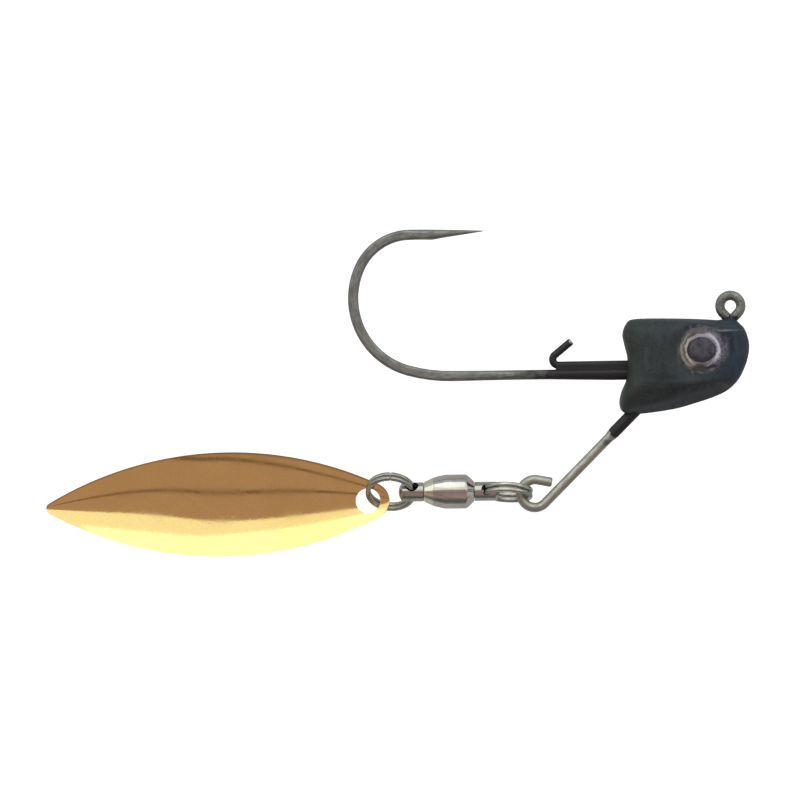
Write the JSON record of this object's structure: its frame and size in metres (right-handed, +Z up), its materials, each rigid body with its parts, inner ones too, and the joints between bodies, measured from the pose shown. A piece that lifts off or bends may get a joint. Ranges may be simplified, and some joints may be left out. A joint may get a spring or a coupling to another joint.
{
  "type": "underspin jig",
  "caption": "Fishing jig with a painted fish-head, an upturned hook, a bait keeper and a wire arm that carries a swivel and a gold willow-leaf spinner blade.",
  "frame": {"origin": "middle of the line-tie hole in the hook's eye", "axes": "the lure lies on its side: +X towards the nose, +Y towards the hook point, +Z up from the table, along the line-tie hole"},
  "size_m": [0.0845, 0.0393, 0.0079],
  "materials": {
    "head_paint": "gloss green-black paint over cast lead",
    "keeper_paint": "black paint over wire",
    "hook_wire": "black nickel",
    "arm_wire": "drawn stainless wire",
    "eye_foil": "silver foil",
    "eye_pupil": "printed dark spot",
    "eye_dome": "clear cast resin",
    "ring_wire": "bright nickel on steel",
    "stem_metal": "nickel plate",
    "barrel_plate": "bright nickel plate on brass",
    "collar_plate": "nickel plate on brass",
    "ball_steel": "polished steel",
    "blade_gold": "polished gold plate on brass sheet"
  },
  "bodies": {
    "head": {"head_casting": "head_paint", "jig_hook": "hook_wire", "bait_keeper": "keeper_paint", "spinner_arm": "arm_wire", "right_eye_foil": "eye_foil", "right_eye_pupil": "eye_pupil", "right_eye_dome": "eye_dome", "left_eye_foil": "eye_foil", "left_eye_pupil": "eye_pupil", "left_eye_dome": "eye_dome"},
    "front_ring": {"front_split_ring": "ring_wire"},
    "front_stem": {"front_stem": "stem_metal"},
    "front_balls": {"front_balls": "ball_steel"},
    "barrel": {"swivel_barrel": "barrel_plate", "barrel_collar": "collar_plate"},
    "rear_balls": {"rear_balls": "ball_steel"},
    "rear_stem": {"rear_stem": "stem_metal"},
    "rear_ring": {"rear_split_ring": "ring_wire"},
    "blade": {"willow_blade": "blade_gold"}
  },
  "joints": [
    {"name": "ring_in_loop", "type": "hinge", "parent": "head", "child": "front_ring", "pos_m": [-0.02346, -0.02253, 0], "axis": [0, 0, 1], "range_deg": [-25, 95]},
    {"name": "stem_on_ring", "type": "hinge", "parent": "front_ring", "child": "front_stem", "pos_m": [-0.0267, -0.02236, 0], "axis": [-0.0508, -0.969, 0.2419], "range_deg": [-55, 55]},
    {"name": "front_spin", "type": "hinge", "parent": "front_stem", "child": "barrel", "pos_m": [-0.02928, -0.02225, -0.00011], "axis": [-0.9991, -0.0106, -0.0423], "continuous": true},
    {"name": "front_ball_orbit", "type": "hinge", "parent": "front_stem", "child": "front_balls", "pos_m": [-0.02928, -0.02225, -0.00011], "axis": [-0.9991, -0.0106, -0.0423], "continuous": true},
    {"name": "rear_spin", "type": "hinge", "parent": "barrel", "child": "rear_stem", "pos_m": [-0.02928, -0.02225, -0.00011], "axis": [-0.9991, -0.0106, -0.0423], "continuous": true},
    {"name": "rear_ball_orbit", "type": "hinge", "parent": "barrel", "child": "rear_balls", "pos_m": [-0.02928, -0.02225, -0.00011], "axis": [-0.9991, -0.0106, -0.0423], "continuous": true},
    {"name": "ring_in_stem", "type": "hinge", "parent": "rear_stem", "child": "rear_ring", "pos_m": [-0.03819, -0.02234, -0.00049], "axis": [-0.0384, 0.6706, 0.7408], "range_deg": [-55, 55]},
    {"name": "blade_on_ring", "type": "hinge", "parent": "rear_ring", "child": "blade", "pos_m": [-0.04077, -0.0223, -0.00066], "axis": [0.0553, 0.7417, -0.6685], "range_deg": [-35, 35]}
  ],
  "couplings": [
    {"joint": "front_ball_orbit", "follows": "front_spin", "ratio": 0.5},
    {"joint": "rear_ball_orbit", "follows": "rear_spin", "ratio": 0.5}
  ]
}
